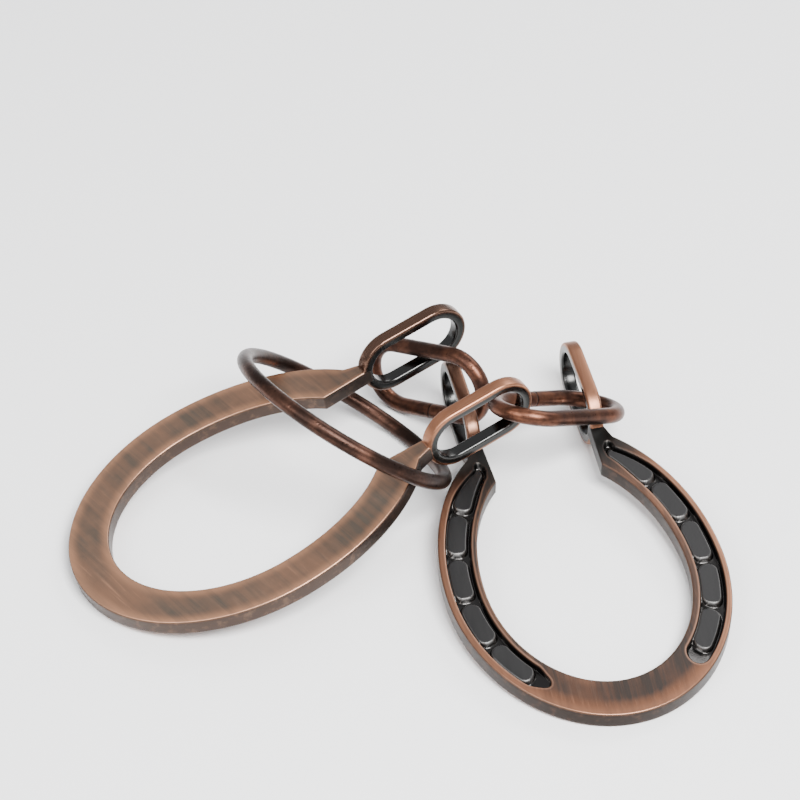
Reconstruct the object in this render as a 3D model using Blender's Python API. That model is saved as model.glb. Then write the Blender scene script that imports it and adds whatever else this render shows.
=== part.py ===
"""Horseshoe disentanglement puzzle: two cast horseshoes, two wire links and a loose ring.

Metres, +Z up. The table top is z = 0 and the origin is under the middle of the set.
Each horseshoe is modelled lying flat, fullered face up, toe towards -Y and eyes towards +Y.
It is then turned and tipped into its resting place.
"""

import math

import bmesh
import bpy
from mathutils import Euler, Vector

MM = 0.001

# Horseshoe plate: two egg curves, each widest at its own height along the shoe.
THICKNESS = 4.4 * MM
OUTER_HALF_WIDTH = 34.2 * MM
OUTER_WIDEST_Y = -7.8 * MM
OUTER_TOE_REACH = 43.3 * MM
OUTER_HEEL_REACH = 49.4 * MM
INNER_HALF_WIDTH = 24.7 * MM
INNER_WIDEST_Y = -8.1 * MM
INNER_TOE_REACH = 32.8 * MM
INNER_HEEL_REACH = 39.4 * MM
ARM_END = math.radians(147)
OUTLINE_STEPS = 44
EDGE_ROUND = 0.4 * MM

# The neck that joins each arm to its eye.
NECK_INNER_X = 13.5 * MM
NECK_ROOT_Y = 27.0 * MM
NECK_TIP_Y = 39.1 * MM

# Eye: an oblong ring standing across the plate, long axis along the shoe.
EYE_X = 15.7 * MM
EYE_Y = 51.65 * MM
EYE_LENGTH = 29.8 * MM
EYE_HEIGHT = 17.0 * MM
EYE_BAR = 2.7 * MM
EYE_WIDTH = 3.5 * MM
EYE_STEPS = 14
EYE_ROUND = 0.55 * MM

# Fullering: one groove in each arm, with five raised pads standing in it.
GROOVE_DEPTH = 1.3 * MM
PAD_DROP = 0.25 * MM
GROOVE_INNER = 0.17
GROOVE_OUTER = 0.83
PAD_INNER = 0.25
PAD_OUTER = 0.75
GROOVE_TOE = math.radians(33)
GROOVE_HEEL = math.radians(142)
PAD_COUNT = 5
PAD_GAP = math.radians(2.2)
POINTED_PAD = 2.3

# Wire links and ring, sizes to the middle of the wire.
LINK_HALF_LENGTH = 17.8 * MM
LINK_HALF_WIDTH = 8.6 * MM
LINK_WIRE = 2.0 * MM
SEAM_DEPTH = 0.12 * MM
SEAM_WIDTH = 0.35 * MM
RING_RADIUS = 28.4 * MM
RING_WIRE = 1.9 * MM

# Resting places of the horseshoes: position in mm, then turn, tip and roll in degrees.
LEFT_SHOE = ((-32.76, -29.34, 12.60), (-59.7, 11.8, 180.0))
RIGHT_SHOE = ((42.36, -45.33, 5.53), (13.25, 3.74, 0.0))

# Resting places of the wires: position in mm, then rotation about X, Y and Z in degrees.
FAR_LINK = ((6.99, 8.03, 13.37), (-99.2, -18.2, -36.5))
NEAR_LINK = ((38.90, -5.53, 16.42), (-18.6, 25.6, 35.1))
LOOSE_RING = ((-13.45, -14.53, 21.4), (-33.6, 29.0, -13.0))

# A point in mm on the joint axis of each moving piece.
FAR_LINK_PIVOT = (15.56, 1.98, 6.28)
NEAR_LINK_PIVOT = (46.26, 1.98, 5.61)
LEFT_SHOE_PIVOT = (6.40, 11.98, 22.75)
LOOSE_RING_PIVOT = (-28.40, 9.28, 17.37)

# The middle of the set, in the same coordinates as the places and pivots.
CENTRE = Vector((-0.61, -36.55, 0.0))


def clear_scene():
    for obj in list(bpy.data.objects):
        bpy.data.objects.remove(obj, do_unlink=True)


def metal(name, colour, roughness):
    made = bpy.data.materials.new(name)
    made.use_nodes = True
    shader = made.node_tree.nodes["Principled BSDF"]
    shader.inputs["Base Color"].default_value = (*colour, 1.0)
    shader.inputs["Metallic"].default_value = 1.0
    shader.inputs["Roughness"].default_value = roughness
    return made


def add_object(name, mesh_data, smooth=True):
    mesh = bpy.data.meshes.new(name)
    mesh_data.to_mesh(mesh)
    mesh_data.free()
    for face in mesh.polygons:
        face.use_smooth = smooth
    obj = bpy.data.objects.new(name, mesh)
    bpy.context.scene.collection.objects.link(obj)
    return obj


def egg_point(angle, half_width, widest_y, toe_reach, heel_reach):
    """A point of an egg curve; angle 0 is the toe and a positive angle is the +X side."""
    reach = toe_reach if abs(angle) < math.pi / 2 else heel_reach
    return Vector((half_width * math.sin(angle), widest_y - reach * math.cos(angle)))


def outer_point(angle):
    return egg_point(angle, OUTER_HALF_WIDTH, OUTER_WIDEST_Y, OUTER_TOE_REACH, OUTER_HEEL_REACH)


def inner_point(angle):
    return egg_point(angle, INNER_HALF_WIDTH, INNER_WIDEST_Y, INNER_TOE_REACH, INNER_HEEL_REACH)


def across(angle, share):
    """A point on the band of metal: share 0 is its inner edge and 1 its outer edge."""
    return inner_point(angle).lerp(outer_point(angle), share)


def prism(points, low, high):
    """A closed prism over a counter-clockwise outline, from height low to height high."""
    made = bmesh.new()
    bottom = [made.verts.new((p[0], p[1], low)) for p in points]
    top = [made.verts.new((p[0], p[1], high)) for p in points]
    made.faces.new(list(reversed(bottom)))
    made.faces.new(top)
    count = len(points)
    for i in range(count):
        j = (i + 1) % count
        made.faces.new((bottom[i], bottom[j], top[j], top[i]))
    return made


def bevel(obj, width, segments, limit_deg):
    rounding = obj.modifiers.new("edge_round", "BEVEL")
    rounding.width = width
    rounding.segments = segments
    rounding.limit_method = "ANGLE"
    rounding.angle_limit = math.radians(limit_deg)
    rounding.use_clamp_overlap = True


def combine(target, other, operation):
    """Join or cut with an exact Boolean; the other shape stays as a hidden helper that moves along."""
    step = target.modifiers.new(other.name, "BOOLEAN")
    step.operation = operation
    step.solver = "EXACT"
    step.object = other
    other.parent = target
    other.hide_render = True
    other.hide_viewport = True


def plate_outline():
    """The flat outline, counter-clockwise: outer edge, right neck, inner edge, left neck."""
    angles = [ARM_END * (2 * i / OUTLINE_STEPS - 1) for i in range(OUTLINE_STEPS + 1)]
    outer = [outer_point(a) for a in angles]
    inner = [inner_point(a) for a in reversed(angles)]
    half = EYE_WIDTH / 2
    right_neck = [
        Vector((EYE_X + half, EYE_Y - EYE_LENGTH / 2 + 0.6 * MM)),
        Vector((EYE_X + half, NECK_TIP_Y)),
        Vector((EYE_X - half, NECK_TIP_Y)),
        Vector((NECK_INNER_X, NECK_ROOT_Y)),
    ]
    left_neck = [Vector((-p.x, p.y)) for p in reversed(right_neck)]
    return outer + right_neck + inner + left_neck


def band_outline(start, end, inner_share, outer_share, steps, round_start, round_end):
    """A strip of the band between two angles, with rounded or pointed ends."""
    middle = (inner_share + outer_share) / 2
    half = (outer_share - inner_share) / 2
    width = (across(start, outer_share) - across(start, inner_share)).length
    run = (across(end, middle) - across(start, middle)).length / (end - start)
    first = start + round_start * width / 2 / run
    last = end - round_end * width / 2 / run
    stops = [first + (last - first) * i / steps for i in range(steps + 1)]
    side_out = [across(a, outer_share) for a in stops]
    side_in = [across(a, inner_share) for a in reversed(stops)]
    bends = [math.pi * k / 8 for k in range(1, 8)]
    cap_end = [across(last + (end - last) * math.sin(b), middle + half * math.cos(b)) for b in bends]
    cap_start = [across(first - (first - start) * math.sin(b), middle - half * math.cos(b)) for b in bends]
    return side_out + cap_end + side_in + cap_start


def mirrored(points):
    return [Vector((-p.x, p.y)) for p in reversed(points)]


def pad_outlines():
    """Outlines of the raised pads of the right arm, toe to heel; the last one is pointed."""
    found = []
    span = (GROOVE_HEEL - GROOVE_TOE) / PAD_COUNT
    for i in range(PAD_COUNT):
        start = GROOVE_TOE + i * span + PAD_GAP / 2
        end = GROOVE_TOE + (i + 1) * span - PAD_GAP / 2
        tip = POINTED_PAD if i == PAD_COUNT - 1 else 0.75
        found.append(band_outline(start, end, PAD_INNER, PAD_OUTER, 6, 0.75, tip))
    return found


def eye_profile(grow, steps):
    """The eye's oblong in its own plane: along the shoe, then up."""
    radius = EYE_HEIGHT / 2 + grow
    straight = (EYE_LENGTH - EYE_HEIGHT) / 2
    points = []
    for side in (1, -1):
        for k in range(steps + 1):
            turn = math.pi * (k / steps - 0.5)
            points.append((side * (straight + radius * math.cos(turn)), side * radius * math.sin(turn)))
    return points


def eye_ring(name, side):
    made = bmesh.new()
    half = EYE_WIDTH / 2
    rings = []
    for grow, x in ((0, half), (0, -half), (-EYE_BAR, -half), (-EYE_BAR, half)):
        outline = eye_profile(grow, EYE_STEPS)
        rings.append([made.verts.new((side * EYE_X + x, EYE_Y + y, z)) for y, z in outline])
    count = len(rings[0])
    for ring_index in range(4):
        here = rings[ring_index]
        after = rings[(ring_index + 1) % 4]
        for i in range(count):
            j = (i + 1) % count
            made.faces.new((here[i], here[j], after[j], after[i]))
    bmesh.ops.recalc_face_normals(made, faces=made.faces)
    obj = add_object(name, made)
    bevel(obj, EYE_ROUND, 2, 50)
    return obj


def horseshoe(name, material):
    """One cast horseshoe: plate with two fullered arms, five pads a side and two eyes."""
    top = THICKNESS / 2
    shoe = add_object(name, prism(plate_outline(), -top, top))
    bevel(shoe, EDGE_ROUND, 2, 40)
    groove = band_outline(GROOVE_TOE, GROOVE_HEEL, GROOVE_INNER, GROOVE_OUTER, 26, 0.9, 1.5)
    for side, outline in (("right", groove), ("left", mirrored(groove))):
        cutter = add_object(name + "_groove_" + side, prism(outline, top - GROOVE_DEPTH, top + MM))
        combine(shoe, cutter, "DIFFERENCE")
    for number, outline in enumerate(pad_outlines(), start=1):
        for side, shape in (("right", outline), ("left", mirrored(outline))):
            low = top - GROOVE_DEPTH - 0.5 * MM
            pad = add_object(name + "_pad_" + side + str(number), prism(shape, low, top - PAD_DROP))
            combine(shoe, pad, "UNION")
    for side, word in ((1, "right"), (-1, "left")):
        combine(shoe, eye_ring(name + "_eye_" + word, side), "UNION")
    shoe.data.materials.append(material)
    return shoe


def wire_loop(name, centres, tangents, radii, sides, material):
    """A closed round wire in the XY plane along a list of centre points."""
    made = bmesh.new()
    rings = []
    for centre, tangent, radius in zip(centres, tangents, radii):
        outward = Vector((tangent.y, -tangent.x, 0.0))
        loop = []
        for k in range(sides):
            turn = 2 * math.pi * k / sides
            offset = outward * math.cos(turn) + Vector((0.0, 0.0, 1.0)) * math.sin(turn)
            loop.append(made.verts.new(centre + offset * radius))
        rings.append(loop)
    for i, here in enumerate(rings):
        after = rings[(i + 1) % len(rings)]
        for k in range(sides):
            m = (k + 1) % sides
            made.faces.new((here[k], here[m], after[m], after[k]))
    bmesh.ops.recalc_face_normals(made, faces=made.faces)
    obj = add_object(name, made)
    obj.data.materials.append(material)
    return obj


def oblong_link(name, material):
    """An oval link bent from round wire, its ends butted in the middle of one long side."""
    straight = LINK_HALF_LENGTH - LINK_HALF_WIDTH
    stations = []
    for k in range(13):
        turn = math.pi * (k / 12 - 0.5)
        direction = Vector((math.cos(turn), math.sin(turn), 0.0))
        stations.append((Vector((straight, 0.0, 0.0)) + direction * LINK_HALF_WIDTH, turn, 0.0))
    for x in (0.5 * straight, SEAM_WIDTH, 0.0, -SEAM_WIDTH, -0.5 * straight):
        pinch = SEAM_DEPTH if x == 0.0 else 0.0
        stations.append((Vector((x, LINK_HALF_WIDTH, 0.0)), math.pi / 2, pinch))
    for k in range(13):
        turn = math.pi * (k / 12 + 0.5)
        direction = Vector((math.cos(turn), math.sin(turn), 0.0))
        stations.append((Vector((-straight, 0.0, 0.0)) + direction * LINK_HALF_WIDTH, turn, 0.0))
    for x in (-0.33 * straight, 0.33 * straight):
        stations.append((Vector((x, -LINK_HALF_WIDTH, 0.0)), -math.pi / 2, 0.0))
    centres = [s[0] for s in stations]
    tangents = [Vector((-math.sin(s[1]), math.cos(s[1]), 0.0)) for s in stations]
    radii = [LINK_WIRE - s[2] for s in stations]
    return wire_loop(name, centres, tangents, radii, 16, material)


def round_ring(name, material):
    steps = 56
    turns = [2 * math.pi * k / steps for k in range(steps)]
    centres = [Vector((math.cos(t), math.sin(t), 0.0)) * RING_RADIUS for t in turns]
    tangents = [Vector((-math.sin(t), math.cos(t), 0.0)) for t in turns]
    return wire_loop(name, centres, tangents, [RING_WIRE] * steps, 16, material)


def lay_shoe(obj, place):
    """Turn about Z, tip the eyes up, and roll face down when roll is a half turn."""
    position, (turn, tip, roll) = place
    obj.rotation_mode = "YXZ"
    obj.rotation_euler = Euler((math.radians(tip), math.radians(roll), math.radians(turn)), "YXZ")
    obj.location = (Vector(position) - CENTRE) * MM


def lay_wire(obj, place):
    position, angles = place
    obj.rotation_euler = Euler([math.radians(a) for a in angles], "XYZ")
    obj.location = (Vector(position) - CENTRE) * MM


def hang(obj, point):
    """Give a moving piece a parent empty on its joint axis; the piece stays where it lies."""
    pivot = bpy.data.objects.new(obj.name + "_pivot", None)
    pivot.empty_display_size = 5 * MM
    pivot.location = (Vector(point) - CENTRE) * MM
    bpy.context.scene.collection.objects.link(pivot)
    obj.parent = pivot
    obj.location -= pivot.location


clear_scene()
bpy.context.scene.unit_settings.scale_length = 1.0

copper = metal("antique_copper", (0.45, 0.22, 0.13), 0.38)
copper_worn = metal("antique_copper_grooved", (0.40, 0.20, 0.12), 0.40)
wire_far = metal("bronzed_wire_far", (0.22, 0.10, 0.07), 0.42)
wire_near = metal("bronzed_wire_near", (0.24, 0.11, 0.08), 0.42)
wire_ring = metal("bronzed_wire_ring", (0.20, 0.10, 0.07), 0.45)

left_shoe = horseshoe("left_horseshoe", copper)
right_shoe = horseshoe("right_horseshoe", copper_worn)
far_link = oblong_link("far_link", wire_far)
near_link = oblong_link("near_link", wire_near)
loose_ring = round_ring("loose_ring", wire_ring)

lay_shoe(left_shoe, LEFT_SHOE)
lay_shoe(right_shoe, RIGHT_SHOE)
lay_wire(far_link, FAR_LINK)
lay_wire(near_link, NEAR_LINK)
lay_wire(loose_ring, LOOSE_RING)

hang(left_shoe, LEFT_SHOE_PIVOT)
hang(far_link, FAR_LINK_PIVOT)
hang(near_link, NEAR_LINK_PIVOT)
hang(loose_ring, LOOSE_RING_PIVOT)
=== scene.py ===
"""Horseshoe disentanglement puzzle: the finished look of its castings, links and ring."""

import math

import bmesh
import bpy
import numpy as np
from mathutils import Euler, Matrix, Vector, kdtree


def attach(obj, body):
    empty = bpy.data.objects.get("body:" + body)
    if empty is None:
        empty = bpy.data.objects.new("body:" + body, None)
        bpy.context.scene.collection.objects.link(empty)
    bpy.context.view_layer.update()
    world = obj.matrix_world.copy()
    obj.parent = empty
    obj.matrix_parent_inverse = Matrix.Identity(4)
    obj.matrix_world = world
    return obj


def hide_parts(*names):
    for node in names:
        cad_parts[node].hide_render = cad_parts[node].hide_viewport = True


MM = 0.001

# Where each casting lies: position, then turn, tip and roll in degrees.
LEFT_SHOE = ((-32.76, -29.34, 12.60), (-59.7, 11.8, 180.0))
RIGHT_SHOE = ((42.36, -45.33, 5.53), (13.25, 3.74, 0.0))
# Where each wire lies: position, then rotation about X, Y and Z in degrees.
FAR_LINK = ((6.99, 8.03, 13.37), (-99.2, -18.2, -36.5))
NEAR_LINK = ((38.90, -5.53, 16.42), (-18.6, 25.6, 35.1))
LOOSE_RING = ((-13.45, -14.53, 21.4), (-33.6, 29.0, -13.0))
CENTRE = Vector((-0.61, -36.55, 0.0))

# Casting, all in millimetres.
THICKNESS = 4.4
OUTER_EGG = (34.2, -7.8, 43.3, 49.4)
INNER_EGG = (24.7, -8.1, 32.8, 39.4)
ARM_END = math.radians(147)
HEEL_FALL = math.radians(3.2)
ARM_STATIONS = 640
NECK_INNER = ((13.5, 27.0), (13.95, 39.1))
NECK_OUTER = ((17.45, 37.4), (17.45, 39.1))
NECK_STATIONS = 26
CORNER = 0.45
EYE_X = 15.7
EYE_Y = 51.65
EYE_LENGTH = 29.8
EYE_HEIGHT = 17.0
EYE_BAR = 2.7
EYE_WIDTH = 3.5
EYE_CORNER = 0.62
EYE_STEP = 0.45
# How far off an eye's own size a point still counts as on it.
EYE_SLACK = 0.02
# How far a mark is carried from the plain casting to the joined one.
MARK_REACH = 0.05

# Wires in millimetres, to the middle of the wire.
LINK_HALF_LENGTH = 17.8
LINK_HALF_WIDTH = 8.6
LINK_WIRE = 4.0
LINK_STEP = 0.3
RING_RADIUS = 28.4
RING_WIRE = 3.8
RING_STEPS = 360
SEAM_WIDTH = 0.35
SEAM_MARK = 0.5
# How much thinner the wire is at its seam, as a share.
SEAM_DEPTH = 0.07
# Metres that put the side opposite a seam out of its mark's reach.
FAR_OFF = 10

# Grooves and pads: lengths in metres, the others shares and one power.
HEEL_NARROWING = 0.014
HEEL_PINCH = 0.45
TOE_RISE = 0.0055
TOE_POINT = 0.5
TOE_SHALLOW = 0.5
POINT_TAPER = 0.62
POINT_CURVE = 1.6
PAD_ROUNDING = 0.9
PAD_FOOT = 0.0001
PAD_SHOULDER = -0.00045
LIP_MIDDLE = 0.00015
LIP_REACH = 0.00045
PAD_HIGHLIGHT_REACH = 0.0003

# View and floor, in metres and degrees; lens and sensor in millimetres.
CAMERA_PLACE = (0.00063, -0.5187, 0.5266)
CAMERA_TIP = 47.29
CAMERA_LENS = 136.2
SENSOR_WIDTH = 36.0
FLOOR_HALF = 3.0
LIGHTS_AIM = (0.0, 0.0, 0.01)


# ---------------------------------------------------------------- node helpers


class Wiring:
    """Adds nodes to one tree and joins them: a value may be a socket or a plain number."""

    def __init__(self, tree):
        self.tree = tree

    def node(self, kind, values=(), **settings):
        made = self.tree.nodes.new(kind)
        for name, value in settings.items():
            setattr(made, name, value)
        pairs = values.items() if isinstance(values, dict) else enumerate(values)
        for key, value in pairs:
            self.feed(made.inputs[key], value)
        return made

    def feed(self, socket, value):
        if isinstance(value, bpy.types.NodeSocket):
            self.tree.links.new(value, socket)
        elif value is not None:
            socket.default_value = value

    def sum(self, operation, *values, clamp=False):
        made = self.node("ShaderNodeMath", values, operation=operation, use_clamp=clamp)
        return made.outputs[0]

    def ease(self, value, low, high, start=0.0, end=1.0):
        """A smooth step of value from low to high."""
        values = (value, low, high, start, end)
        made = self.node("ShaderNodeMapRange", values, interpolation_type="SMOOTHSTEP")
        return made.outputs[0]


def new_group(name, kind, inputs, outputs):
    """An empty node group with named sockets: its wiring, its inputs and its output node."""
    tree = bpy.data.node_groups.new(name, kind)
    for label, socket_type, default in inputs:
        socket = tree.interface.new_socket(label, in_out="INPUT", socket_type=socket_type)
        if default is not None:
            socket.default_value = default
    for label, socket_type in outputs:
        tree.interface.new_socket(label, in_out="OUTPUT", socket_type=socket_type)
    wiring = Wiring(tree)
    enter = wiring.node("NodeGroupInput")
    leave = wiring.node("NodeGroupOutput")
    return wiring, {socket.name: socket for socket in enter.outputs if socket.name}, leave


FLOAT = "NodeSocketFloat"
VECTOR = "NodeSocketVector"
GEOMETRY = "NodeSocketGeometry"


# ---------------------------------------------------------------- geometry trees


def bar_tree():
    """A closed bar swept along the object's own curve; the profile is a rounded rectangle."""
    inputs = (
        ("Geometry", GEOMETRY, None),
        ("Bar Width", FLOAT, 0.004),
        ("Bar Height", FLOAT, 0.004),
        ("Corner Radius", FLOAT, 0.002),
        ("Corner Steps", "NodeSocketInt", 8),
        ("Seam Width", FLOAT, 0.0003),
        ("Seam Depth", FLOAT, 0.0),
        ("Material", "NodeSocketMaterial", None),
    )
    outputs = (("Geometry", GEOMETRY),)
    wiring, given, leave = new_group("bar_along_path", "GeometryNodeTree", inputs, outputs)
    length = wiring.node("GeometryNodeSplineParameter").outputs["Length"]
    total = wiring.node("GeometryNodeSplineLength").outputs["Length"]
    to_end = wiring.sum("SUBTRACT", total, length)
    to_seam = wiring.sum("MINIMUM", length, to_end)
    pinch = wiring.ease(to_seam, 0.0, given["Seam Width"], given["Seam Depth"], 0.0)
    radius = wiring.sum("SUBTRACT", 1.0, pinch)
    values = {"Curve": given["Geometry"], "Radius": radius}
    thinned = wiring.node("GeometryNodeSetCurveRadius", values)
    upright = wiring.node("GeometryNodeSetCurveNormal", {"Curve": thinned.outputs[0]}, mode="Z_UP")
    values = {"Geometry": upright.outputs[0], "Name": "along", "Value": length}
    marked = wiring.node("GeometryNodeStoreNamedAttribute", values)
    values = {"Width": given["Bar Width"], "Height": given["Bar Height"]}
    sized = wiring.node("GeometryNodeCurvePrimitiveQuadrilateral", values)
    values = {
        "Curve": sized.outputs[0],
        "Radius": given["Corner Radius"],
        "Count": given["Corner Steps"],
        "Limit Radius": True,
    }
    rounded = wiring.node("GeometryNodeFilletCurve", values, mode="POLY")
    values = {"Curve": marked.outputs[0], "Profile Curve": rounded.outputs[0]}
    swept = wiring.node("GeometryNodeCurveToMesh", values)
    if "Scale" in swept.inputs:
        radius = wiring.node("GeometryNodeInputRadius").outputs[0]
        wiring.feed(swept.inputs["Scale"], radius)
    values = {"Geometry": swept.outputs[0], "Distance": 2e-6}
    joined = wiring.node("GeometryNodeMergeByDistance", values)
    smooth = wiring.node("GeometryNodeSetShadeSmooth", {"Geometry": joined.outputs[0]})
    real = wiring.node("GeometryNodeRealizeInstances", {"Geometry": smooth.outputs[0]})
    values = {"Geometry": real.outputs[0], "Material": given["Material"]}
    finished = wiring.node("GeometryNodeSetMaterial", values)
    wiring.feed(leave.inputs[0], finished.outputs[0])
    return wiring.tree


def fullering_tree():
    """Sinks a groove into each arm and leaves a row of pads in it, the heel pad pointed."""
    inputs = (
        ("Geometry", GEOMETRY, None),
        ("Groove Toe", FLOAT, 0.0187),
        ("Groove Heel", FLOAT, 0.0960),
        ("Half Width", FLOAT, 0.0032),
        ("Groove Shift", FLOAT, 0.0002),
        ("Depth", FLOAT, 0.0018),
        ("Wall", FLOAT, 0.0005),
        ("Pads", "NodeSocketInt", 5),
        ("Pad Toe", FLOAT, 0.0228),
        ("Pad Pitch", FLOAT, 0.01405),
        ("Pad Gap", FLOAT, 0.0012),
        ("Pad Half Width", FLOAT, 0.00262),
        ("Pad Corner", FLOAT, 0.0024),
        ("Pad Drop", FLOAT, 0.0004),
        ("Pad Shift", FLOAT, -0.00018),
        ("Point Length", FLOAT, 0.0158),
        ("Material", "NodeSocketMaterial", None),
    )
    outputs = (("Geometry", GEOMETRY),)
    wiring, given, leave = new_group("fullering", "GeometryNodeTree", inputs, outputs)
    calc = wiring.sum
    run, side, top = [
        wiring.node("GeometryNodeInputNamedAttribute", {"Name": name}, data_type="FLOAT").outputs[0]
        for name in ("run", "side", "top")
    ]
    reach = calc("ABSOLUTE", run)
    # Both arms came off one die whose pads sit a little to one side of the grooves.
    side = calc("MULTIPLY", side, calc("SIGN", run))
    from_groove = calc("SUBTRACT", side, given["Groove Shift"])
    # The groove: a long slot with a round toe end and a narrow heel end.
    narrow_from = calc("SUBTRACT", given["Groove Heel"], HEEL_NARROWING)
    narrow = wiring.ease(reach, narrow_from, given["Groove Heel"])
    # One arm's groove runs out to a point at the toe, and both rise to a shallow toe end.
    toe_end = wiring.ease(reach, calc("ADD", given["Groove Toe"], TOE_RISE), given["Groove Toe"])
    to_point = calc("MULTIPLY", calc("MULTIPLY", toe_end, calc("LESS_THAN", run, 0.0)), TOE_POINT)
    narrow = calc("MAXIMUM", calc("MULTIPLY", narrow, HEEL_PINCH), to_point)
    half = calc("MULTIPLY", given["Half Width"], calc("SUBTRACT", 1.0, narrow))
    middle = calc("MULTIPLY", calc("ADD", given["Groove Toe"], given["Groove Heel"]), 0.5)
    long_half = calc("MULTIPLY", calc("SUBTRACT", given["Groove Heel"], given["Groove Toe"]), 0.5)
    from_middle = calc("ABSOLUTE", calc("SUBTRACT", reach, middle))
    past = calc("SUBTRACT", from_middle, calc("SUBTRACT", long_half, half))
    past = calc("MAXIMUM", past, 0.0)
    across = calc("MULTIPLY", from_groove, from_groove)
    squares = calc("ADD", calc("MULTIPLY", past, past), across)
    groove_gap = calc("SUBTRACT", calc("SQRT", squares), half)
    sunk = wiring.ease(groove_gap, 0.0, calc("MULTIPLY", given["Wall"], -1.0))
    # The pads: equal steps along the groove, each a rounded oblong, then a longer pointed one.
    pitch = given["Pad Pitch"]
    number = calc("FLOOR", calc("DIVIDE", calc("SUBTRACT", reach, given["Pad Toe"]), pitch))
    last = calc("SUBTRACT", given["Pads"], 1.0)
    number = calc("MINIMUM", calc("MAXIMUM", number, 0.0), last)
    is_last = calc("COMPARE", number, last, 0.5)
    extra = calc("MULTIPLY", is_last, calc("SUBTRACT", given["Point Length"], pitch))
    own_length = calc("ADD", pitch, extra)
    start = calc("ADD", given["Pad Toe"], calc("MULTIPLY", number, pitch))
    centre = calc("ADD", start, calc("MULTIPLY", own_length, 0.5))
    from_centre = calc("SUBTRACT", reach, centre)
    pad_long = calc("MULTIPLY", calc("SUBTRACT", own_length, given["Pad Gap"]), 0.5)
    from_start = calc("ADD", from_centre, pad_long)
    share = calc("DIVIDE", from_start, calc("MULTIPLY", pad_long, 2.0), clamp=True)
    pointed = calc("MULTIPLY", is_last, POINT_TAPER)
    taper = calc("MULTIPLY", pointed, calc("POWER", share, POINT_CURVE))
    pad_half = calc("MULTIPLY", given["Pad Half Width"], calc("SUBTRACT", 1.0, taper))
    corner = calc("MINIMUM", given["Pad Corner"], calc("MULTIPLY", pad_half, PAD_ROUNDING))
    over_long = calc("SUBTRACT", calc("ABSOLUTE", from_centre), calc("SUBTRACT", pad_long, corner))
    off_line = calc("ABSOLUTE", calc("SUBTRACT", side, given["Pad Shift"]))
    over_wide = calc("SUBTRACT", off_line, calc("SUBTRACT", pad_half, corner))
    long_out = calc("MAXIMUM", over_long, 0.0)
    wide_out = calc("MAXIMUM", over_wide, 0.0)
    across = calc("MULTIPLY", wide_out, wide_out)
    squares = calc("ADD", calc("MULTIPLY", long_out, long_out), across)
    outside = calc("SQRT", squares)
    inside = calc("MINIMUM", calc("MAXIMUM", over_long, over_wide), 0.0)
    pad_gap = calc("SUBTRACT", calc("ADD", outside, inside), corner)
    raised = wiring.ease(pad_gap, PAD_FOOT, PAD_SHOULDER)
    pad_height = calc("SUBTRACT", given["Depth"], given["Pad Drop"])
    drop = calc("SUBTRACT", given["Depth"], calc("MULTIPLY", raised, pad_height))
    deep = calc("SUBTRACT", 1.0, calc("MULTIPLY", toe_end, TOE_SHALLOW))
    drop = calc("MULTIPLY", drop, deep)
    sink = calc("MULTIPLY", calc("MULTIPLY", sunk, top), drop)
    down = calc("MULTIPLY", sink, -1.0)
    offset = wiring.node("ShaderNodeCombineXYZ", (0.0, 0.0, down)).outputs[0]
    values = {"Geometry": given["Geometry"], "Offset": offset}
    moved = wiring.node("GeometryNodeSetPosition", values).outputs[0]
    # A thin band just outside the groove, where the finish paints a highlight along its lip.
    from_lip = calc("ABSOLUTE", calc("SUBTRACT", groove_gap, LIP_MIDDLE))
    lip_highlight_mask = wiring.ease(from_lip, LIP_REACH, 0.0)
    # A thin line round each pad top, where the finish paints a light highlight on the pad rims.
    rim_highlight = wiring.ease(calc("ABSOLUTE", calc("ADD", pad_gap, PAD_HIGHLIGHT_REACH)), PAD_HIGHLIGHT_REACH, 0.0)
    pad_rim_highlight = calc("MULTIPLY", rim_highlight, sunk)
    marks = (("hollow", sunk), ("pad", raised), ("lip_highlight_mask", lip_highlight_mask), ("pad_rim_highlight", pad_rim_highlight))
    for name, value in marks:
        values = {"Geometry": moved, "Name": name, "Value": calc("MULTIPLY", value, top)}
        moved = wiring.node("GeometryNodeStoreNamedAttribute", values).outputs[0]
    real = wiring.node("GeometryNodeRealizeInstances", {"Geometry": moved})
    values = {"Geometry": real.outputs[0], "Material": given["Material"]}
    finished = wiring.node("GeometryNodeSetMaterial", values)
    wiring.feed(leave.inputs[0], finished.outputs[0])
    return wiring.tree


def grown(obj, tree, values, name):
    """The plain mesh that a geometry tree makes from an object, whose modifier is then removed."""
    modifier = obj.modifiers.new(tree.name, "NODES")
    modifier.node_group = tree
    for item in tree.interface.items_tree:
        if item.in_out == "INPUT" and item.name in values:
            modifier[item.identifier] = values[item.name]
    bpy.context.view_layer.update()
    graph = bpy.context.evaluated_depsgraph_get()
    mesh = bpy.data.meshes.new_from_object(
        obj.evaluated_get(graph), preserve_all_data_layers=True, depsgraph=graph
    )
    mesh.name = name
    obj.modifiers.remove(modifier)
    return mesh


# ---------------------------------------------------------------- paths and meshes


def show(name, data):
    obj = bpy.data.objects.new(name, data)
    bpy.context.scene.collection.objects.link(obj)
    return obj


def closed_path(name, points):
    """A closed curve of straight steps through points in millimetres, in its own XY plane."""
    curve = bpy.data.curves.new(name, "CURVE")
    curve.dimensions = "3D"
    spline = curve.splines.new("POLY")
    spline.points.add(len(points) - 1)
    for point, place in zip(spline.points, points):
        point.co = (place[0] * MM, place[1] * MM, 0.0, 1.0)
    spline.use_cyclic_u = True
    return show(name, curve)


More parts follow.
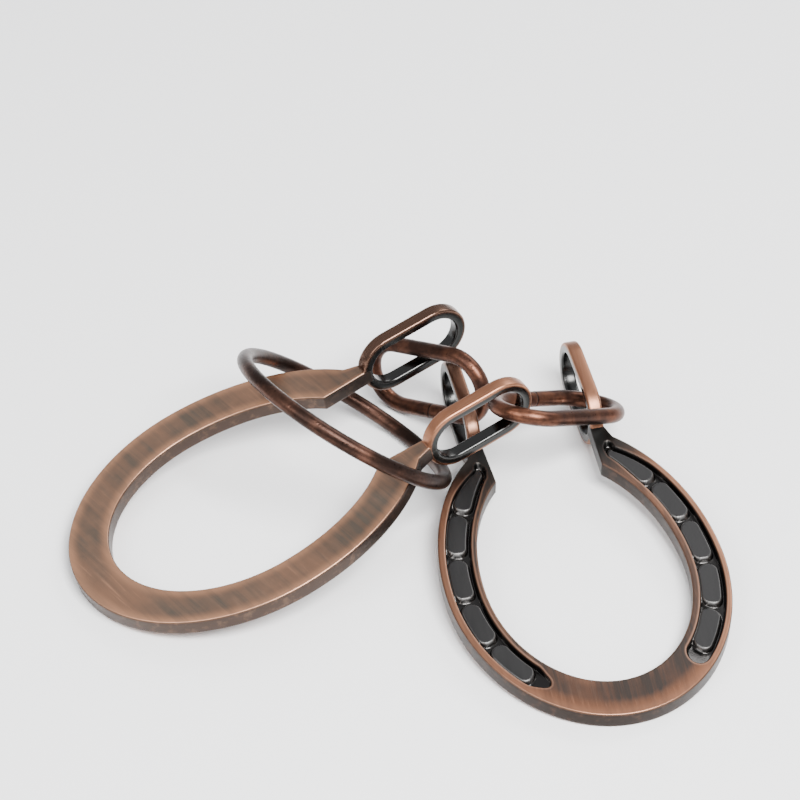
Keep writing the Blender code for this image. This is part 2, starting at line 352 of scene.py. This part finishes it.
def oblong(half_length, half_width, step):
    """Points of an oblong with round ends, starting at the middle of its +Y side."""
    straight = half_length - half_width
    around = 2 * math.pi * half_width + 4 * straight
    count = int(around / step)
    points = []
    for i in range(count):
        reach = around * i / count
        if reach < straight:
            points.append((-reach, half_width))
            continue
        reach -= straight
        if reach < math.pi * half_width:
            turn = math.pi / 2 + reach / half_width
            points.append((-straight + half_width * math.cos(turn), half_width * math.sin(turn)))
            continue
        reach -= math.pi * half_width
        if reach < 2 * straight:
            points.append((-straight + reach, -half_width))
            continue
        reach -= 2 * straight
        if reach < math.pi * half_width:
            turn = -math.pi / 2 + reach / half_width
            points.append((straight + half_width * math.cos(turn), half_width * math.sin(turn)))
            continue
        reach -= math.pi * half_width
        points.append((straight - reach, half_width))
    return points


def egg(angle, size):
    half_width, widest, toe, heel = size
    reach = toe if abs(angle) < math.pi / 2 else heel
    return np.array((half_width * math.sin(angle), widest - reach * math.cos(angle)))


def along(points, share):
    """The point at a share of the length of a short polyline."""
    points = [np.array(p, float) for p in points]
    lengths = [np.linalg.norm(b - a) for a, b in zip(points, points[1:])]
    reach = share * sum(lengths)
    for (a, b), length in zip(zip(points, points[1:]), lengths):
        if reach <= length:
            return a + (b - a) * reach / length
        reach -= length
    return points[-1]


def plate_stations():
    """Inner and outer edge points from the left neck's tip round to the right one's."""
    arm = np.linspace(-ARM_END, ARM_END, ARM_STATIONS + 1)
    # Towards the heel the outer partner falls back, which keeps each station square to the band.
    past_side = (np.abs(arm) - math.pi / 2) / (ARM_END - math.pi / 2)
    fall = np.sign(arm) * HEEL_FALL * np.clip(past_side, 0, 1)
    stations = [(egg(a, INNER_EGG), egg(a - f, OUTER_EGG)) for a, f in zip(arm, fall)]
    inner = stations[-1][0]
    outer = [egg(ARM_END - HEEL_FALL * share, OUTER_EGG) for share in (1.0, 0.5, 0.0)]
    neck = []
    for i in range(1, NECK_STATIONS + 1):
        share = i / NECK_STATIONS
        neck.append((along([inner, *NECK_INNER], share), along([*outer, *NECK_OUTER], share)))
    flip = np.array((-1.0, 1.0))
    mirrored = [(a * flip, b * flip) for a, b in reversed(neck)]
    return mirrored + stations + neck


def section(width):
    """The cross-section as (distance from the inner edge, height, top weight, edge weight)."""
    corner = min(CORNER, width * 0.2)
    high = THICKNESS / 2 - corner
    far = width - corner
    bends = ((corner, high, 180), (far, high, 90), (far, -high, 0), (corner, -high, -90))
    points = []
    for i, steps in enumerate((54, 4, 12, 4)):
        x, z, first = bends[i]
        for k in range(6):
            turn = math.radians(first - 18 * k)
            # The edge weight marks the rounded edges for worn copper that is also a painted
            # highlight.
            worn = math.sin(math.pi * k / 5)
            points.append((x + corner * math.cos(turn), z + corner * math.sin(turn), 0.0, worn))
        start = np.array(points[-1][:2])
        x, z, first = bends[(i + 1) % 4]
        turn = math.radians(first)
        end = np.array((x + corner * math.cos(turn), z + corner * math.sin(turn)))
        for share in np.linspace(0, 1, steps + 1)[1:-1]:
            points.append((*(start + (end - start) * share), float(i == 0), 0.0))
    return points


def plate_mesh():
    """The plain casting without its eyes, its points marked for the grooves and the finish."""
    stations = plate_stations()
    middles = np.array([(a + b) / 2 for a, b in stations])
    steps = np.linalg.norm(np.diff(middles, axis=0), axis=1)
    run = np.concatenate([[0], np.cumsum(steps)])
    run -= run[len(run) // 2]
    verts, marks = [], []
    for (inner, outer), reach in zip(stations, run):
        across = outer - inner
        width = float(np.linalg.norm(across))
        for distance, height, top, edge in section(width):
            spot = inner + across * distance / width
            verts.append((spot[0] * MM, spot[1] * MM, height * MM))
            marks.append((reach * MM, (distance - width / 2) * MM, top, edge, distance / width))
    count = len(section(5.0))
    faces = []
    for i in range(len(stations) - 1):
        for k in range(count):
            m = (k + 1) % count
            faces.append((i * count + k, i * count + m, (i + 1) * count + m, (i + 1) * count + k))
    faces.append(tuple(reversed(range(count))))
    faces.append(tuple(range((len(stations) - 1) * count, len(stations) * count)))
    mesh = bpy.data.meshes.new("plate")
    mesh.from_pydata(verts, [], faces)
    mesh.validate()
    for column, name in enumerate(("run", "side", "top", "edge", "share")):
        layer = mesh.attributes.new(name, "FLOAT", "POINT")
        layer.data.foreach_set("value", np.array(marks, np.float32)[:, column])
    return mesh


def points_of(mesh):
    found = np.empty(len(mesh.vertices) * 3, np.float32)
    mesh.vertices.foreach_get("co", found)
    return found.reshape(-1, 3)


def mark(mesh, name, values, kind="FLOAT"):
    if name in mesh.attributes:
        mesh.attributes.remove(mesh.attributes[name])
    layer = mesh.attributes.new(name, kind, "POINT")
    field = "vector" if kind == "FLOAT_VECTOR" else "value"
    layer.data.foreach_set(field, np.asarray(values, np.float32).ravel())


def facing_out(mesh):
    """Turns a closed mesh's faces outwards."""
    work = bmesh.new()
    work.from_mesh(mesh)
    bmesh.ops.remove_doubles(work, verts=work.verts, dist=1e-7)
    bmesh.ops.recalc_face_normals(work, faces=work.faces)
    work.to_mesh(mesh)
    work.free()


def casting_mesh(bar, fullering):
    """One finished casting in its own frame: fullered plate joined with its two eyes."""
    plate = show("plate", plate_mesh())
    facing_out(plate.data)
    body = grown(plate, fullering, {}, "casting")
    bpy.data.objects.remove(plate)
    solid = show("casting", body)
    facing_out(body)
    loop = oblong((EYE_LENGTH - EYE_BAR) / 2, (EYE_HEIGHT - EYE_BAR) / 2, EYE_STEP)
    path = closed_path("eye_path", loop)
    sizes = {
        "Bar Width": EYE_BAR * MM,
        "Bar Height": EYE_WIDTH * MM,
        "Corner Radius": EYE_CORNER * MM,
        "Corner Steps": 5,
    }
    stand = Matrix(((0, 0, 1, 0), (1, 0, 0, 0), (0, 1, 0, 0), (0, 0, 0, 1)))
    keep = points_of(body)
    names = ("hollow", "pad", "lip_highlight_mask", "pad_rim_highlight", "edge", "share")
    values = {}
    for name in names:
        found = np.empty(len(body.vertices), np.float32)
        body.attributes[name].data.foreach_get("value", found)
        values[name] = found
    eyes = []
    for side in (-1, 1):
        mesh = grown(path, bar, sizes, "eye")
        mesh.transform(Matrix.Translation((side * EYE_X * MM, EYE_Y * MM, 0.0)) @ stand)
        facing_out(mesh)
        eye = show("eye", mesh)
        join = solid.modifiers.new("eye", "BOOLEAN")
        join.operation = "UNION"
        join.solver = "EXACT"
        join.object = eye
        eyes.append(eye)
    bpy.context.view_layer.update()
    graph = bpy.context.evaluated_depsgraph_get()
    mesh = bpy.data.meshes.new_from_object(solid.evaluated_get(graph), depsgraph=graph)
    for obj in (solid, path, *eyes):
        bpy.data.objects.remove(obj)
    # Marks are carried over by place, since joining renumbers the points.
    tree = kdtree.KDTree(len(keep))
    for i, place in enumerate(keep):
        tree.insert(place, i)
    tree.balance()
    now = points_of(mesh)
    carried = {name: np.zeros(len(now), np.float32) for name in names}
    for i, place in enumerate(now):
        _, index, distance = tree.find(place)
        if distance < MARK_REACH * MM:
            for name in names:
                carried[name][i] = values[name][index]
    for name in names:
        mark(mesh, name, carried[name])
    mark(mesh, "local", now, "FLOAT_VECTOR")
    normals = np.empty(len(now) * 3, np.float32)
    mesh.vertex_normals.foreach_get("vector", normals)
    mark(mesh, "lean", normals.reshape(-1, 3)[:, 2])
    # How far a point of an eye sits from the middle of its bar: +1 outside, -1 in the hole.
    straight = (EYE_LENGTH - EYE_HEIGHT) / 2
    y = now[:, 1] / MM - EYE_Y
    z = now[:, 2] / MM
    radial = np.hypot(np.maximum(np.abs(y) - straight, 0), z) - (EYE_HEIGHT - EYE_BAR) / 2
    sideways = np.abs(np.abs(now[:, 0] / MM) - EYE_X)
    on_eye = (sideways < EYE_WIDTH / 2 + EYE_SLACK) & (np.abs(radial) < EYE_BAR / 2 + EYE_SLACK)
    mark(mesh, "eye", on_eye)
    mark(mesh, "eye_out", np.clip(radial / (EYE_BAR / 2), -1, 1) * on_eye)
    for face in mesh.polygons:
        face.use_smooth = True
    return mesh


def shoe_place(place):
    position, (turn, tip, roll) = place
    angles = Euler((math.radians(tip), math.radians(roll), math.radians(turn)), "YXZ")
    return Matrix.Translation((Vector(position) - CENTRE) * MM) @ angles.to_matrix().to_4x4()


def wire_place(place):
    position, angles = place
    turned = Euler([math.radians(a) for a in angles], "XYZ")
    return Matrix.Translation((Vector(position) - CENTRE) * MM) @ turned.to_matrix().to_4x4()


# ---------------------------------------------------------------- materials


def brush_group():
    """Long fine scratches along one direction of the given coordinates."""
    inputs = (
        ("Vector", VECTOR, None),
        ("Angle", FLOAT, 0.0),
        ("Fineness", FLOAT, 2600.0),
        ("Stretch", FLOAT, 0.05),
    )
    outputs = (("Lines", FLOAT), ("Bands", FLOAT))
    wiring, given, leave = new_group("brush_lines", "ShaderNodeTree", inputs, outputs)
    values = {"Vector": given["Vector"], "Angle": given["Angle"]}
    turned = wiring.node("ShaderNodeVectorRotate", values, rotation_type="Z_AXIS").outputs[0]
    parts = wiring.node("ShaderNodeSeparateXYZ", (turned,)).outputs
    length_way = wiring.sum("MULTIPLY", parts[1], given["Stretch"])
    squeezed = wiring.node("ShaderNodeCombineXYZ", (parts[0], length_way, parts[2])).outputs[0]
    values = {"Vector": squeezed, "Scale": given["Fineness"], "Detail": 3.0, "Roughness": 0.6}
    fine = wiring.node("ShaderNodeTexNoise", values)
    coarse_size = wiring.sum("MULTIPLY", given["Fineness"], 0.22)
    values = {"Vector": squeezed, "Scale": coarse_size, "Detail": 2.0, "Roughness": 0.5}
    coarse = wiring.node("ShaderNodeTexNoise", values)
    wiring.feed(leave.inputs["Lines"], fine.outputs[0])
    wiring.feed(leave.inputs["Bands"], coarse.outputs[0])
    return wiring.tree


def cloud_group():
    """Soft uneven clouds, pushed up or down by Level."""
    inputs = (
        ("Vector", VECTOR, None),
        ("Scale", FLOAT, 60.0),
        ("Level", FLOAT, 0.5),
        ("Softness", FLOAT, 0.15),
    )
    outputs = (("Mask", FLOAT),)
    wiring, given, leave = new_group("patina_clouds", "ShaderNodeTree", inputs, outputs)
    values = {"Vector": given["Vector"], "Scale": given["Scale"], "Detail": 5.0, "Roughness": 0.62}
    cloud = wiring.node("ShaderNodeTexNoise", values)
    low = wiring.sum("SUBTRACT", given["Level"], given["Softness"])
    high = wiring.sum("ADD", given["Level"], given["Softness"])
    wiring.feed(leave.inputs["Mask"], wiring.ease(cloud.outputs[0], low, high))
    return wiring.tree


def grain_group():
    """Fine cast or tumbled grain with a few pits, for bump and roughness."""
    inputs = (("Vector", VECTOR, None), ("Scale", FLOAT, 1500.0), ("Pits", FLOAT, 0.4))
    outputs = (("Height", FLOAT),)
    wiring, given, leave = new_group("metal_grain", "ShaderNodeTree", inputs, outputs)
    values = {"Vector": given["Vector"], "Scale": given["Scale"], "Detail": 3.0, "Roughness": 0.55}
    grain = wiring.node("ShaderNodeTexNoise", values)
    pit_size = wiring.sum("MULTIPLY", given["Scale"], 0.6)
    cells = wiring.node("ShaderNodeTexVoronoi", {"Vector": given["Vector"], "Scale": pit_size})
    pit = wiring.ease(cells.outputs["Distance"], 0.12, 0.3, given["Pits"], 0.0)
    wiring.feed(leave.inputs["Height"], wiring.sum("SUBTRACT", grain.outputs[0], pit))
    return wiring.tree


def start_material(name):
    made = bpy.data.materials.new(name)
    made.use_nodes = True
    shader = made.node_tree.nodes["Principled BSDF"]
    return made, Wiring(made.node_tree), shader


def mix(wiring, share, first, second):
    made = wiring.node("ShaderNodeMix", data_type="RGBA")
    wiring.feed(made.inputs[0], share)
    wiring.feed(made.inputs[6], (*first, 1.0) if isinstance(first, tuple) else first)
    wiring.feed(made.inputs[7], (*second, 1.0) if isinstance(second, tuple) else second)
    return made.outputs[2]


def read(wiring, name, output="Fac"):
    return wiring.node("ShaderNodeAttribute", attribute_name=name).outputs[output]


def group_node(wiring, tree, values):
    return wiring.node("ShaderNodeGroup", values, node_tree=tree)


EYE_COPPER = (0.37, 0.150, 0.076)
# Worn copper, also used as a painted highlight on the edges and the groove's lip.
COPPER_WEAR_AND_HIGHLIGHT = (0.46, 0.250, 0.165)
EYE_HOLE = (0.050, 0.050, 0.049)
GUNMETAL = (0.034, 0.035, 0.034)
BLACKENED = (0.040, 0.038, 0.037)
PAD_TOP = (0.048, 0.047, 0.047)
# The light grey painted round the pad tops is a painted highlight.
PAD_RIM_HIGHLIGHT = (0.30, 0.29, 0.28)
WIRE_STAIN = (0.026, 0.019, 0.017)
SEAM_BLACK = (0.008, 0.007, 0.007)

# The casting turns dark between these two heights up its own Y axis, in metres.
NECK_START = 0.019
NECK_FULL = 0.031
# The direction of the brush lines on the eyes, in radians.
EYE_BRUSH = 0.07


def casting_material(name, groups, look):
    """Antique copper plate: brushed copper on raised faces, blackened walls and hollows, and
    painted highlights on the edges, the groove's lip and the pad rims.
    """
    made, wiring, shader = start_material(name)
    calc = wiring.sum
    local = read(wiring, "local", "Vector")
    parts = wiring.node("ShaderNodeSeparateXYZ", (local,)).outputs
    lean = calc("ABSOLUTE", read(wiring, "lean"))
    hollow = read(wiring, "hollow")
    pad = read(wiring, "pad")
    edge = read(wiring, "edge")
    lip_highlight_mask = read(wiring, "lip_highlight_mask")
    rim_highlight = read(wiring, "pad_rim_highlight")
    share = read(wiring, "share")
    eye = read(wiring, "eye")
    eye_out = read(wiring, "eye_out")
    values = {"Vector": local, "Angle": look["brush_angle"]}
    lines = group_node(wiring, groups["brush"], values).outputs
    values = {"Vector": local, "Angle": EYE_BRUSH}
    eye_lines = group_node(wiring, groups["brush"], values).outputs["Lines"]
    values = {0: eye, 2: lines["Lines"], 3: eye_lines}
    scratches = wiring.node("ShaderNodeMix", values, data_type="FLOAT").outputs[0]
    values = {"Vector": local, "Scale": look["smudge_scale"]}
    values.update({"Level": look["smudge_level"], "Softness": 0.2})
    smudge = group_node(wiring, groups["cloud"], values).outputs[0]
    values = {"Vector": local, "Scale": 420.0, "Level": 0.6, "Softness": 0.1}
    speck = group_node(wiring, groups["cloud"], values).outputs[0]
    values = {"Vector": local, "Scale": 1500.0, "Pits": 0.5}
    grain = group_node(wiring, groups["grain"], values).outputs[0]
    # Brushed faces: grime stays in the middle of the band and the buffed margins stay copper.
    from_band = calc("ABSOLUTE", calc("SUBTRACT", share, look["smudge_middle"]))
    in_band = wiring.ease(from_band, look["smudge_reach"], look["smudge_reach"] - 0.30)
    streak = wiring.ease(lines["Bands"], 0.40, 0.66)
    grime = calc("MULTIPLY", calc("MULTIPLY", smudge, in_band), look["grime"])
    dark = calc("ADD", grime, calc("MULTIPLY", streak, look["streaks"]), clamp=True)
    dark = calc("MULTIPLY", dark, calc("ADD", 0.72, calc("MULTIPLY", scratches, 0.55)), clamp=True)
    bright = wiring.ease(scratches, 0.5, 0.72, 0.0, look["bright_lines"])
    from_middle = calc("ABSOLUTE", calc("SUBTRACT", share, 0.5))
    margin = wiring.ease(from_middle, 0.2, 0.46, 0.0, look["margin"])
    bright = calc("MAXIMUM", bright, margin)
    face = mix(wiring, bright, look["copper"], look["pale_copper"])
    face = mix(wiring, dark, face, look["smudge"])
    # Walls, with copper showing through where they are rubbed.
    rubbed = calc("MULTIPLY", speck, look["wall_rub"])
    side = mix(wiring, rubbed, look["wall"], look["copper"])
    flat = wiring.ease(lean, 0.72, 0.96)
    plate = mix(wiring, flat, side, face)
    # The rounded edges are painted worn copper, which also serves as a painted highlight along
    # them.
    plate = mix(wiring, calc("MULTIPLY", edge, look["edge_wear_and_highlight"]), plate, COPPER_WEAR_AND_HIGHLIGHT)
    # The necks stayed dark where no polishing wheel reached.
    neck = wiring.ease(parts[1], NECK_START, NECK_FULL, 0.0, look["neck_dark"])
    plate = mix(wiring, neck, plate, GUNMETAL)
    # Groove and pads, with a painted highlight in worn copper along the groove's lip and a light
    # painted highlight round each pad top.
    lip_highlight = calc("MULTIPLY", calc("MULTIPLY", lip_highlight_mask, calc("SUBTRACT", 1.0, hollow)), 0.55)
    lip_highlight = calc("MULTIPLY", lip_highlight, calc("SUBTRACT", 1.0, neck))
    plate = mix(wiring, lip_highlight, plate, COPPER_WEAR_AND_HIGHLIGHT)
    plate = mix(wiring, hollow, plate, BLACKENED)
    plate = mix(wiring, calc("MULTIPLY", pad, hollow), plate, PAD_TOP)
    # Painted highlight: a light line round each pad top.
    plate = mix(wiring, calc("MULTIPLY", rim_highlight, 0.6), plate, PAD_RIM_HIGHLIGHT)
    # Eyes: copper on the outside of the bar, black inside the hole.
    on_plus = calc("GREATER_THAN", parts[0], 0.0)
    plus, minus = look["eye_copper"]
    own_copper = calc("ADD", minus, calc("MULTIPLY", on_plus, plus - minus))
    bare = calc("MULTIPLY", wiring.ease(eye_out, 0.15, 0.75), own_copper)
    bare = calc("MULTIPLY", bare, calc("SUBTRACT", 1.0, calc("MULTIPLY", smudge, 0.3)))
    brushed = mix(wiring, calc("MULTIPLY", scratches, 0.6), EYE_COPPER, COPPER_WEAR_AND_HIGHLIGHT)
    loop = mix(wiring, bare, GUNMETAL, brushed)
    loop = mix(wiring, wiring.ease(eye_out, -0.2, -0.7), loop, EYE_HOLE)
    wiring.feed(shader.inputs["Base Color"], mix(wiring, eye, plate, loop))
    shader.inputs["Metallic"].default_value = 1.0
    # Roughness: satin on the faces, glossy black in the hollows.
    satin = calc("ADD", 0.27, calc("MULTIPLY", scratches, 0.22))
    satin = calc("ADD", satin, calc("MULTIPLY", dark, 0.08))
    glossy = calc("ADD", 0.17, calc("MULTIPLY", grain, 0.12))
    unpolished = calc("MULTIPLY", eye, calc("SUBTRACT", 1.0, bare))
    shine = calc("MAXIMUM", calc("SUBTRACT", hollow, pad), unpolished, clamp=True)
    values = {0: shine, 2: satin, 3: glossy}
    rough = wiring.node("ShaderNodeMix", values, data_type="FLOAT").outputs[0]
    wiring.feed(shader.inputs["Roughness"], rough)
    scratch = calc("MULTIPLY", calc("MULTIPLY", scratches, flat), calc("SUBTRACT", 1.0, hollow))
    height = calc("ADD", calc("MULTIPLY", scratch, 0.7), calc("MULTIPLY", grain, 0.5))
    values = {"Height": height, "Strength": 0.35, "Distance": 0.00006}
    bump = wiring.node("ShaderNodeBump", values)
    wiring.feed(shader.inputs["Normal"], bump.outputs[0])
    return made


def wire_material(name, groups, body, worn, worn_level):
    """Bronzed wire: dark copper plate, rubbed brighter in patches and stained in others."""
    made, wiring, shader = start_material(name)
    calc = wiring.sum
    local = read(wiring, "local", "Vector")
    run = read(wiring, "along")
    values = {"Vector": local, "Scale": 130.0, "Level": worn_level, "Softness": 0.18}
    rubbed = group_node(wiring, groups["cloud"], values).outputs[0]
    values = {"Vector": local, "Scale": 45.0, "Level": 0.55, "Softness": 0.15}
    stain = group_node(wiring, groups["cloud"], values).outputs[0]
    values = {"Vector": local, "Scale": 1300.0, "Pits": 0.6}
    grain = group_node(wiring, groups["grain"], values).outputs[0]
    colour = mix(wiring, rubbed, body, worn)
    colour = mix(wiring, calc("MULTIPLY", stain, 0.55), colour, WIRE_STAIN)
    seam = wiring.ease(calc("ABSOLUTE", read(wiring, "seam")), 0.0, 1.0)
    colour = mix(wiring, calc("MULTIPLY", seam, 0.85), colour, SEAM_BLACK)
    wiring.feed(shader.inputs["Base Color"], colour)
    shader.inputs["Metallic"].default_value = 1.0
    wave = calc("SINE", calc("MULTIPLY", run, 900.0))
    rough = calc("ADD", 0.30, calc("MULTIPLY", grain, 0.16))
    rough = calc("ADD", rough, calc("MULTIPLY", wave, 0.01))
    wiring.feed(shader.inputs["Roughness"], rough)
    values = {"Height": grain, "Strength": 0.4, "Distance": 0.00008}
    bump = wiring.node("ShaderNodeBump", values)
    wiring.feed(shader.inputs["Normal"], bump.outputs[0])
    return made


def floor_material():
    made, wiring, shader = start_material("pale_floor")
    place = wiring.node("ShaderNodeTexCoord").outputs["Object"]
    cloud = wiring.node("ShaderNodeTexNoise", {"Vector": place, "Scale": 3.0, "Detail": 2.0})
    colour = mix(wiring, cloud.outputs[0], (0.93, 0.93, 0.93), (0.95, 0.95, 0.95))
    wiring.feed(shader.inputs["Base Color"], colour)
    shader.inputs["Roughness"].default_value = 0.7
    return made


# ---------------------------------------------------------------- stage


def add_camera():
    data = bpy.data.cameras.new("view")
    data.sensor_width = SENSOR_WIDTH
    data.lens = CAMERA_LENS
    data.clip_start = 0.01
    camera = show("view", data)
    camera.location = CAMERA_PLACE
    camera.rotation_euler = (math.radians(CAMERA_TIP), 0.0, 0.0)
    bpy.context.scene.camera = camera


def area_light(name, place, size, power):
    data = bpy.data.lights.new(name, "AREA")
    data.shape = "RECTANGLE"
    data.size, data.size_y = size
    data.energy = power
    light = show(name, data)
    light.location = place
    aim = Vector(LIGHTS_AIM) - Vector(place)
    light.rotation_euler = aim.to_track_quat("-Z", "Y").to_euler()


def add_stage():
    floor = bpy.data.meshes.new("floor")
    corners = [(x * FLOOR_HALF, y * FLOOR_HALF, 0) for x, y in ((-1, -1), (1, -1), (1, 1), (-1, 1))]
    floor.from_pydata(corners, [], [(0, 1, 2, 3)])
    floor.materials.append(floor_material())
    show("floor", floor)
    world = bpy.data.worlds.new("studio")
    world.use_nodes = True
    backdrop = world.node_tree.nodes["Background"]
    backdrop.inputs[0].default_value = (0.96, 0.97, 1.0, 1.0)
    backdrop.inputs[1].default_value = 0.80
    bpy.context.scene.world = world
    # The key and the front light stand on the viewer's side: they whiten the floor, not the faces.
    area_light("key", (0.28, -0.42, 0.85), (0.5, 0.4), 24.0)
    area_light("front", (-0.50, -0.45, 0.65), (0.5, 0.5), 5.0)
    area_light("back", (0.48, 0.62, 0.62), (0.45, 0.3), 4.0)


# ---------------------------------------------------------------- the set


def finish_piece(name, mesh, place, material, node, body):
    """Lays a finished mesh in its place and hands it over to its body."""
    mesh.name = name
    mesh.transform(place)
    mesh.materials.clear()
    mesh.materials.append(material)
    piece = show(name, mesh)
    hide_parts(node)
    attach(piece, body)


def wire_mesh(name, bar, points, wire, seam_depth=0.0):
    """A closed wire through points in millimetres; a seam pinches it where the points start."""
    path = closed_path(name, points)
    sizes = {
        "Bar Width": wire * MM,
        "Bar Height": wire * MM,
        "Corner Radius": wire / 2 * MM,
        "Corner Steps": 9,
        "Seam Width": SEAM_WIDTH * MM,
        "Seam Depth": seam_depth,
    }
    mesh = grown(path, bar, sizes, name)
    bpy.data.objects.remove(path)
    facing_out(mesh)
    places = points_of(mesh)
    mark(mesh, "local", places, "FLOAT_VECTOR")
    start = np.array(points[0]) * MM
    opposite = places[:, 1] < start[1] - LINK_WIRE * MM
    off = np.abs(places[:, 0] - start[0]) + FAR_OFF * opposite
    mark(mesh, "seam", np.clip(1 - off / (SEAM_MARK * MM), 0, 1) * (seam_depth > 0))
    for face in mesh.polygons:
        face.use_smooth = True
    return mesh


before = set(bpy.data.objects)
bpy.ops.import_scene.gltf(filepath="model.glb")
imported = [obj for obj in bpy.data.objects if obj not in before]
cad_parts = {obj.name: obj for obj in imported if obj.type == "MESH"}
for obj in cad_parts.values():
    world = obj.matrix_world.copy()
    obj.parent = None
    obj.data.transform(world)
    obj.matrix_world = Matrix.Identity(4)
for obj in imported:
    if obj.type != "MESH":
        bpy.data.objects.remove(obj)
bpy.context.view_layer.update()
add_camera()
add_stage()

groups = {"brush": brush_group(), "cloud": cloud_group(), "grain": grain_group()}
left_look = {
    "copper": (0.40, 0.222, 0.142),
    "pale_copper": (0.66, 0.345, 0.205),
    "margin": 0.85,
    "brush_angle": math.radians(99),
    "smudge": (0.150, 0.122, 0.098),
    "smudge_scale": 26.0,
    "smudge_level": 0.47,
    "smudge_middle": 0.5,
    "smudge_reach": 0.46,
    "grime": 0.85,
    "streaks": 0.28,
    "bright_lines": 0.45,
    "wall": (0.060, 0.042, 0.034),
    "wall_rub": 0.14,
    "edge_wear_and_highlight": 0.16,
    "neck_dark": 0.30,
    "eye_copper": (0.32, 1.0),
}
right_look = {
    "copper": (0.225, 0.107, 0.065),
    "pale_copper": (0.40, 0.190, 0.113),
    "margin": 0.6,
    "brush_angle": math.radians(4),
    "smudge": (0.058, 0.047, 0.042),
    "smudge_scale": 20.0,
    "smudge_level": 0.40,
    "smudge_middle": 0.14,
    "smudge_reach": 0.66,
    "grime": 0.9,
    "streaks": 0.22,
    "bright_lines": 0.35,
    "wall": (0.028, 0.021, 0.018),
    "wall_rub": 0.14,
    "edge_wear_and_highlight": 0.24,
    "neck_dark": 0.95,
    "eye_copper": (1.0, 0.5),
}
left_finish = casting_material("left_casting_finish", groups, left_look)
right_finish = casting_material("right_casting_finish", groups, right_look)
link_copper = ((0.060, 0.028, 0.020), (0.23, 0.095, 0.055))
ring_copper = ((0.032, 0.018, 0.014), (0.12, 0.058, 0.040))
link_finish = wire_material("link_finish", groups, *link_copper, 0.56)
ring_finish = wire_material("ring_finish", groups, *ring_copper, 0.60)

bar = bar_tree()
fullering = fullering_tree()
casting = casting_mesh(bar, fullering)

link_points = oblong(LINK_HALF_LENGTH, LINK_HALF_WIDTH, LINK_STEP)
turns = np.linspace(0, 2 * math.pi, RING_STEPS + 1)[:-1]
ring_points = [(RING_RADIUS * math.cos(t), RING_RADIUS * math.sin(t)) for t in turns]

finish_piece(
    "left_casting", casting.copy(), shoe_place(LEFT_SHOE),
    left_finish, "left_horseshoe", "left_shoe",
)
finish_piece(
    "right_casting", casting, shoe_place(RIGHT_SHOE),
    right_finish, "right_horseshoe", "right_shoe",
)
finish_piece(
    "far_link_wire", wire_mesh("far", bar, link_points, LINK_WIRE, SEAM_DEPTH),
    wire_place(FAR_LINK), link_finish, "far_link", "far_link",
)
finish_piece(
    "near_link_wire", wire_mesh("near", bar, link_points, LINK_WIRE, SEAM_DEPTH),
    wire_place(NEAR_LINK), link_finish, "near_link", "near_link",
)
finish_piece(
    "ring_wire", wire_mesh("ring", bar, ring_points, RING_WIRE),
    wire_place(LOOSE_RING), ring_finish, "loose_ring", "ring",
)
